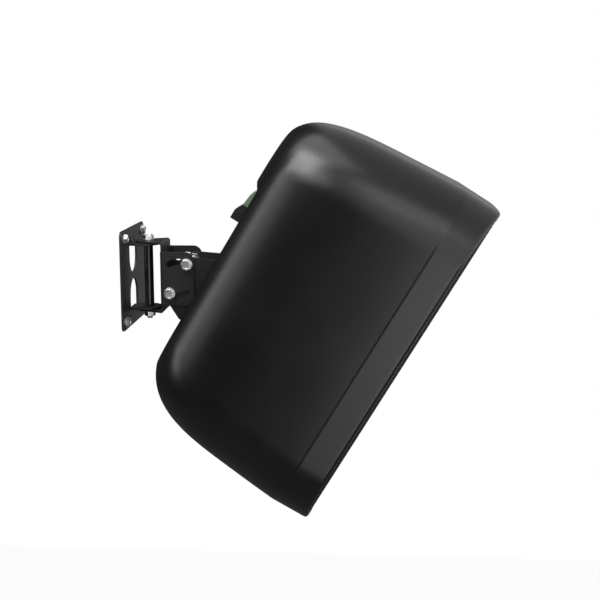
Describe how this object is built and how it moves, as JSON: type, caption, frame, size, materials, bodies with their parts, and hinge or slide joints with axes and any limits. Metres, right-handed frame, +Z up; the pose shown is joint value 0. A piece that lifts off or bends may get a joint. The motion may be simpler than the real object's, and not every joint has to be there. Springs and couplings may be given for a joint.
{
  "type": "wall speaker",
  "caption": "Two-way loudspeaker in a moulded cabinet with a bowed perforated front, on a steel wall bracket that turns sideways and tilts.",
  "frame": {"origin": "centre of the wall plate's back face", "axes": "+Y into the wall along the wall screws, -Y out into the room, +Z up, +X to the right of a person who faces the wall"},
  "size_m": [0.225, 0.3757, 0.3932],
  "materials": {
    "powder_coat": "fine textured black powder coat",
    "zinc": "bright zinc plating",
    "black_sleeve": "satin black",
    "black_screw": "black oxide",
    "brass": "knurled, plain",
    "shell": "satin black moulding",
    "grille_steel": "perforated, satin black",
    "cloth": "thin black acoustic cloth",
    "cast_frame": "satin black",
    "motor_steel": "plated",
    "ferrite": "dull grey ferrite",
    "spider_cloth": "stiffened cloth",
    "copper": "enamelled copper winding",
    "cone_paper": "coated paper",
    "rubber": "matt",
    "dome_cloth": "coated silk",
    "board": "solder mask",
    "capacitor": "shrink sleeve",
    "green_plastic": "moulded, matt",
    "tin": "tin plating",
    "black_plastic": "fine textured",
    "wool": "fibre fill"
  },
  "bodies": {
    "wall": {"wall_plate": "powder_coat", "wall_screws": "zinc", "wall_washers": "zinc", "pan_bolt": "zinc", "pan_nut": "zinc", "pan_washers": "zinc", "pan_sleeve": "black_sleeve"},
    "swivel": {"swivel_bracket": "powder_coat"},
    "speaker": {"speaker_yoke": "powder_coat", "tilt_bolts": "zinc", "tilt_washers": "zinc", "tilt_nuts": "zinc", "yoke_screws": "black_screw", "yoke_inserts": "brass", "rear_cabinet": "shell", "front_baffle": "shell", "baffle_screws": "black_screw", "grille": "grille_steel", "grille_liner": "cloth", "woofer_basket": "cast_frame", "woofer_top_plate": "motor_steel", "woofer_magnet": "ferrite", "woofer_pole_yoke": "motor_steel", "woofer_spider": "spider_cloth", "woofer_surround": "rubber", "woofer_screws": "black_screw", "tweeter_waveguide": "cast_frame", "tweeter_dome": "dome_cloth", "tweeter_motor": "ferrite", "tweeter_screws": "black_screw", "port_tubes": "shell", "crossover_board": "board", "crossover_coil": "copper", "crossover_capacitors": "capacitor", "board_screws": "zinc", "terminal_header": "green_plastic", "terminal_pins": "tin", "damping_pad": "wool"},
    "plug": {"terminal_plug": "black_plastic", "plug_screws": "zinc"},
    "cone": {"woofer_cone": "cone_paper", "woofer_dust_cap": "cone_paper", "woofer_voice_coil": "copper"}
  },
  "joints": [
    {"name": "pan", "type": "hinge", "parent": "wall", "child": "swivel", "pos_m": [0, -0.018, 0], "axis": [0, 0, 1], "range_deg": [-45, 45]},
    {"name": "tilt", "type": "hinge", "parent": "swivel", "child": "speaker", "pos_m": [0, -0.053, 0], "axis": [-1, 0, 0], "range_deg": [0, 54]},
    {"name": "plug_slide", "type": "slide", "parent": "speaker", "child": "plug", "axis": [0, 0.518, -0.8554], "range_m": [0, 0.012]},
    {"name": "cone_travel", "type": "slide", "parent": "speaker", "child": "cone", "axis": [0, -0.8554, -0.518], "range_m": [-0.004, 0.004], "stiffness_N_per_m": 1500, "deforming": ["woofer_surround", "woofer_spider"]}
  ]
}
